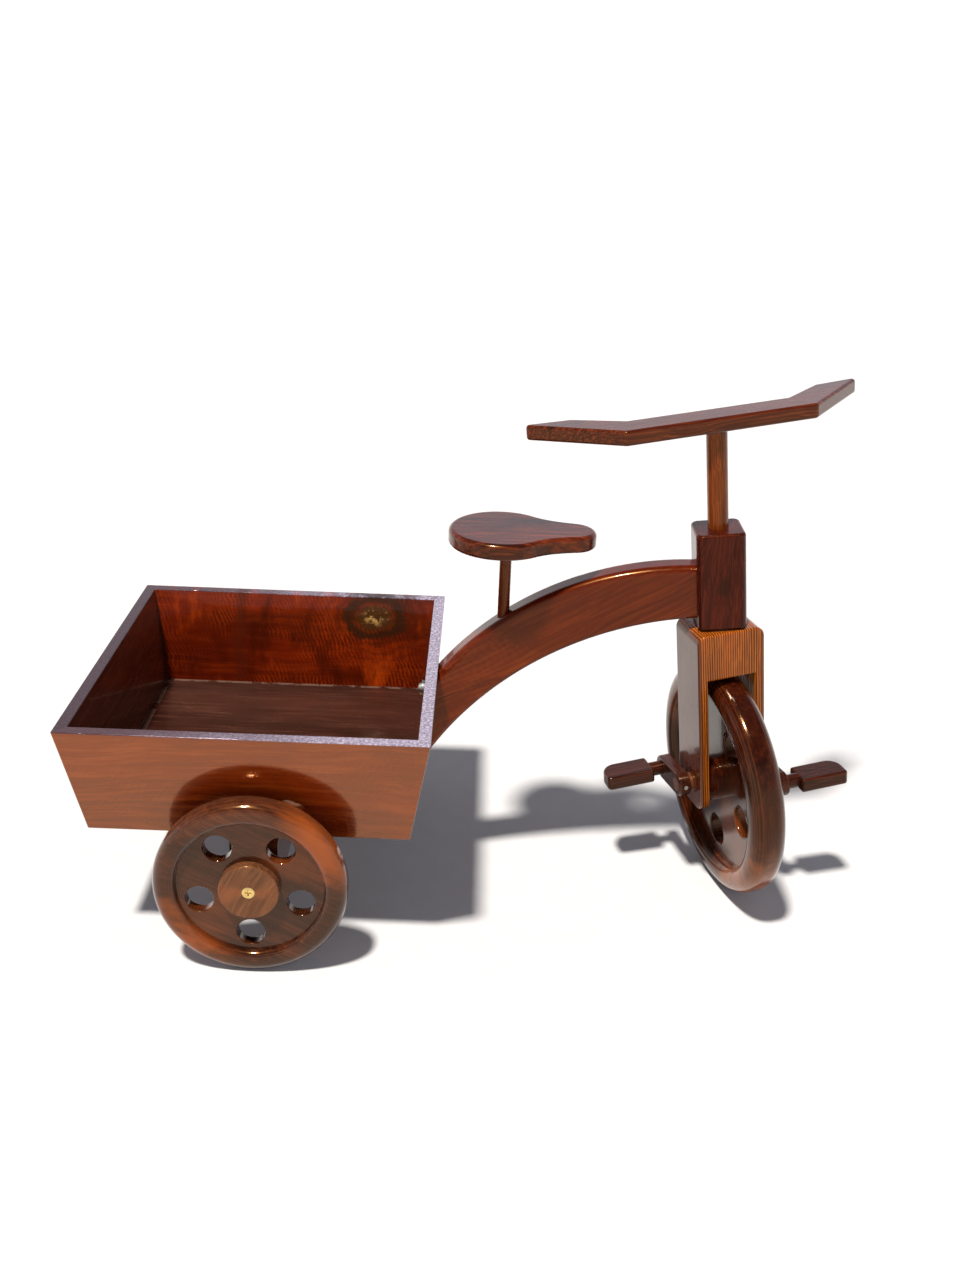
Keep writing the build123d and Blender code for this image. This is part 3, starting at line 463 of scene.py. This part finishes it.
cap_grain = Vector((0.4, 0, 0.9))
# Painted glow on the hub caps.
cap_painted_glow = (0.32, 0.09, 0.03)
brass = bare_metal("brass", tint=(0.86, 0.62, 0.24), rough=0.2)
for side in ("right", "left"):
    name = side + "_hub_cap"
    finish(name, varnished_wood(
        side + "_cap_wood", cap_grain, ACROSS, dark=(0.045, 0.016, 0.007), mid=(0.14, 0.05, 0.020),
        light=(0.25, 0.10, 0.042), seed=14.0, stripes=30.0, clouds=0.3, grain=0.5,
        marks=turned_marks(middle_of(name), ACROSS, FORWARD, cap_painted_glow, share=0.35)))
    finish(side + "_hub_screw", brass)

# ---- curved beam and head block -----------------------------------------------------------------
# The backbone is sawn from one thick board and rounded over along its edges.  A bolt and a blind
# dowel fix it to the tray's front panel, and two dowels fix the head block to its upper end.

beam_grain = Vector((0.87, 0, 0.5))
beam_low, beam_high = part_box("curved_beam")
# Painted shade darkening the beam towards its upper end; its lighter lower end stands in for the floor's
# reflection.
painted_shade_tone = (0.055, 0.0035, 0.0006)
painted_shade_starts = beam_low.z + 0.07
painted_shade_full = beam_high.z + 0.02


def painted_top_shade(tree, place, parts, colour, height):
    """Painted shade: darker and redder towards the beam's upper end, so the lower end stays lighter as if
    it caught the pale floor's reflection.
    """
    cloudy = plus(tree, axis_of(tree, place, "Z"), times(tree, noise(tree, place, 20.0), 0.05))
    share = ramp(tree, cloudy, painted_shade_starts, painted_shade_full, 0.0, 0.65)
    return blend(tree, share, colour, painted_shade_tone), height


finish("curved_beam", varnished_wood(
    "beam_wood", beam_grain, ACROSS, dark=(0.055, 0.004, 0.0008), mid=(0.15, 0.015, 0.0015),
    light=(0.30, 0.05, 0.005), seed=21.0, stripes=30.0, ripple=0.10, ripple_pitch=0.006,
    ripple_lean=30.0, clouds=0.4, grain=0.5, coat=0.55, gloss=0.22, marks=painted_top_shade))

head_middle = middle_of("head_block")
small_knot_place = (head_middle.z - 0.004, head_middle.x + 0.002)
small_knot_size = (0.009, 0.0055)
small_knot_tone = (0.008, 0.002, 0.001)


def small_knot(tree, place, parts, colour, height):
    """One small tight knot that runs through the middle of the block."""
    ragged = noise(tree, place, 90.0, roughness=0.6)
    away = ring_distance(tree, parts, small_knot_place, small_knot_size, ragged)
    return blend(tree, ramp(tree, away, 0.5, 1.6, 0.75, 0.0), colour, small_knot_tone), height


finish("head_block", varnished_wood(
    "head_wood", UPRIGHT, FORWARD, dark=(0.014, 0.0015, 0.0008), mid=(0.050, 0.005, 0.002),
    light=(0.10, 0.014, 0.005), seed=24.0, stripes=70.0, clouds=0.4, coat=0.35,
    shine_tint=(1.0, 0.35, 0.15), shine_ior=1.3, marks=small_knot))
for name in ("beam_bolt", "beam_bolt_washer", "keeper_pin"):
    finish(name, zinc)
for name in ("beam_foot_dowel", "beam_dowels"):
    finish(name, rod_wood)

# ---- seat ---------------------------------------------------------------------------------------
# A paddle-shaped hardwood board with a rounded edge and a dark stain.  It sits on a thin upright
# dowel, which is let into the beam.

finish("seat", varnished_wood(
    "seat_wood", FORWARD, ACROSS, dark=(0.012, 0.0015, 0.001), mid=(0.052, 0.006, 0.003),
    light=(0.18, 0.030, 0.008), seed=31.0, stripes=22.0, clouds=0.5, grain=0.7, coat=0.6))
finish("seat_post", varnished_wood(
    "post_wood", UPRIGHT, FORWARD, dark=(0.04, 0.004, 0.001), mid=(0.13, 0.018, 0.004),
    light=(0.25, 0.06, 0.012), seed=33.0, stripes=120.0, coat=0.5))

# ---- fork and steering --------------------------------------------------------------------------
# The fork is a slotted block that turns under the head block on a round stem.  The handlebar is a flat
# board with swept grips, pinned on the stem's top.

joints = {joint["name"]: joint for joint in frame["joints"]}
steering = Vector(joints["steering"]["axis"])
axle_line = Vector(joints["front_wheel_spin"]["axis"])
fork_ahead = axle_line.cross(steering)
hub_middle = Vector(joints["front_wheel_spin"]["pos_m"])
fork_middle = hub_middle.dot(axle_line)
fork_half = max(corner.co.dot(axle_line) for corner in nodes["fork"].data.vertices) - fork_middle
fork_line_pitch = 0.0023
pale_line = (0.62, 0.23, 0.025)
pale_line_share = 0.44
deep_line = (0.06, 0.007, 0.001)
deep_line_share = 0.55
# Painted shade for the fork's two outer cheeks.
cheek_painted_shade_tone = (0.045, 0.010, 0.004)
cheek_shade_starts = fork_half - 0.004
cheek_shade_full = fork_half - 0.0012


def straight_lines(tree, place, parts, colour, height):
    """Straight growth lines on the fork's front and back, and painted shade darkening its two outer
    cheeks.
    """
    wobble = noise(tree, stretched(tree, parts, (7.0, 60.0, 60.0), 6.0))
    phase = plus(tree, times(tree, parts[1], 2 * pi / fork_line_pitch), times(tree, wobble, 11.0))
    line = maths(tree, "SINE", phase)
    colour = blend(tree, ramp(tree, line, 0.1, 1.0, 0.0, deep_line_share), colour, deep_line)
    colour = blend(tree, ramp(tree, line, -0.2, -1.0, 0.0, pale_line_share), colour, pale_line)
    out = maths(tree, "ABSOLUTE", minus(tree, parts[1], fork_middle))
    # Painted shade on the fork's outer cheeks.
    stain = ramp(tree, out, cheek_shade_starts, cheek_shade_full, 0.0, 0.85)
    return blend(tree, stain, colour, cheek_painted_shade_tone), height


finish("fork", varnished_wood(
    "fork_wood", steering, axle_line, dark=(0.09, 0.010, 0.001), mid=(0.26, 0.038, 0.003),
    light=(0.48, 0.12, 0.010), seed=41.0, stripes=60.0, clouds=0.25, grain=0.5, coat=0.8,
    marks=straight_lines))
stem_wood = varnished_wood(
    "stem_wood", steering, axle_line, dark=(0.04, 0.005, 0.001), mid=(0.13, 0.020, 0.002),
    light=(0.30, 0.08, 0.010), seed=43.0, stripes=110.0, clouds=0.2, coat=0.5)
for name in ("steering_stem", "stem_cross_pin", "bar_pin"):
    finish(name, stem_wood)
finish("thrust_washer", varnished_wood(
    "washer_wood", axle_line, fork_ahead, dark=(0.012, 0.006, 0.005), mid=(0.035, 0.016, 0.012),
    light=(0.06, 0.03, 0.02), seed=44.0))
finish("handlebar", varnished_wood(
    "bar_wood", axle_line, fork_ahead, dark=(0.012, 0.0015, 0.0008), mid=(0.050, 0.006, 0.002),
    light=(0.19, 0.036, 0.008), seed=46.0, stripes=46.0, clouds=0.35, grain=0.7, coat=0.6))

# ---- front wheel and pedals ---------------------------------------------------------------------
# The turned wheel, its axle and both cranks are pinned together and turn as one.  Each pedal is a
# small dark board with a turned neck that runs in its crank, where a steel screw holds it.

front_rim_inside = 0.085
# Painted glow on the front wheel's rim.
front_painted_glow = (0.34, 0.085, 0.012)
finish("front_wheel", varnished_wood(
    "front_wheel_wood", steering, fork_ahead, dark=(0.008, 0.001, 0.0006), mid=(0.036, 0.005, 0.0018),
    light=(0.10, 0.017, 0.004), seed=51.0, stripes=16.0, clouds=0.5, grain=0.4, coat=0.5,
    shine_tint=(1.0, 0.60, 0.28), gloss=0.15,
    marks=turned_marks(hub_middle, axle_line, fork_ahead - steering, front_painted_glow, share=0.7,
                       inside=front_rim_inside)))
for name in ("front_axle", "wheel_key_pin"):
    finish(name, rod_wood)
crank_wood = varnished_wood(
    "crank_wood", fork_ahead, axle_line, dark=(0.010, 0.002, 0.0015), mid=(0.035, 0.007, 0.004),
    light=(0.08, 0.02, 0.009), seed=54.0, stripes=60.0, coat=0.5, shine_ior=1.3)
pedal_wood = varnished_wood(
    "pedal_wood", axle_line, fork_ahead, dark=(0.010, 0.002, 0.0015), mid=(0.036, 0.007, 0.004),
    light=(0.09, 0.018, 0.007), seed=57.0, stripes=60.0, coat=0.5, shine_ior=1.3)
for side in ("right", "left"):
    finish(side + "_crank", crank_wood)
    finish(side + "_crank_pin", zinc)
    finish(side + "_pedal", pedal_wood)
    finish(side + "_pedal_screw", zinc)

# ---- studio -------------------------------------------------------------------------------------
# A wide floor of matt pale paper, under a pale surround that darkens overhead.  One soft warm key
# light shines steeply from the near left.

floor_reach = 40.0
paper_tones = ((0.57, 0.57, 0.58), (0.59, 0.59, 0.60))
low_sky = (1.10, 1.10, 1.10)
middle_sky = (0.60, 0.60, 0.69)
high_sky = (0.15, 0.15, 0.165)
light_way = Vector((0.22, 0.34, -1.0))

ground = bmesh.new()
bmesh.ops.create_grid(ground, x_segments=8, y_segments=8, size=floor_reach)
ground_mesh = bpy.data.meshes.new("studio_floor")
ground.to_mesh(ground_mesh)
ground.free()
studio_floor = bpy.data.objects.new("studio_floor", ground_mesh)
bpy.context.scene.collection.objects.link(studio_floor)
paper, tree, shader = new_tree("studio_paper")
place = add_node(tree, "ShaderNodeTexCoord").outputs["Object"]
fibre = ramp(tree, noise(tree, place, 40.0, detail=4.0), 0.3, 0.7)
tree.links.new(blend(tree, fibre, *paper_tones), shader.inputs["Base Color"])
shader.inputs["Roughness"].default_value = 0.9
shader.inputs["Specular IOR Level"].default_value = 0.1
ground_mesh.materials.append(paper)

world = bpy.data.worlds.new("surround")
bpy.context.scene.world = world
world.use_nodes = True
tree = world.node_tree
rise = axis_of(tree, add_node(tree, "ShaderNodeTexCoord").outputs["Generated"], "Z")
tint = blend(tree, ramp(tree, rise, 0.16, 0.27), low_sky, middle_sky)
tint = blend(tree, ramp(tree, rise, 0.42, 0.70), tint, high_sky)
tree.links.new(tint, tree.nodes["Background"].inputs["Color"])

sun = bpy.data.lights.new("key_light", "SUN")
sun.energy = 5.6
sun.angle = radians(5.0)
sun.color = (1.0, 0.95, 0.88)
key_light = bpy.data.objects.new("key_light", sun)
key_light.rotation_euler = light_way.to_track_quat("-Z", "Y").to_euler()
bpy.context.scene.collection.objects.link(key_light)

# ---- camera -------------------------------------------------------------------------------------
# Stands off the right side, well above the handlebar, and looks down on the tray.  It leans a little
# to one side, and its lens is shifted a little downwards.

camera_place = (-0.0041, -1.1328, 0.7642)
heading = radians(0.10)
dip = radians(21.0)
roll = radians(2.2)

camera_data = bpy.data.cameras.new("camera")
camera_data.sensor_fit = "VERTICAL"
camera_data.sensor_height = 32.0
camera_data.lens = 32.925
camera_data.shift_y = -0.0625
camera = bpy.data.objects.new("camera", camera_data)
ahead = Vector((sin(heading) * cos(dip), cos(heading) * cos(dip), -sin(dip)))
level_right = Vector((cos(heading), -sin(heading), 0))
level_up = level_right.cross(ahead)
right = level_right * cos(roll) + level_up * sin(roll)
up = level_up * cos(roll) - level_right * sin(roll)
turn = Matrix((right, up, -ahead)).transposed().to_4x4()
camera.matrix_world = Matrix.Translation(camera_place) @ turn
bpy.context.scene.collection.objects.link(camera)
bpy.context.scene.camera = camera
bpy.context.scene.view_settings.view_transform = "Standard"
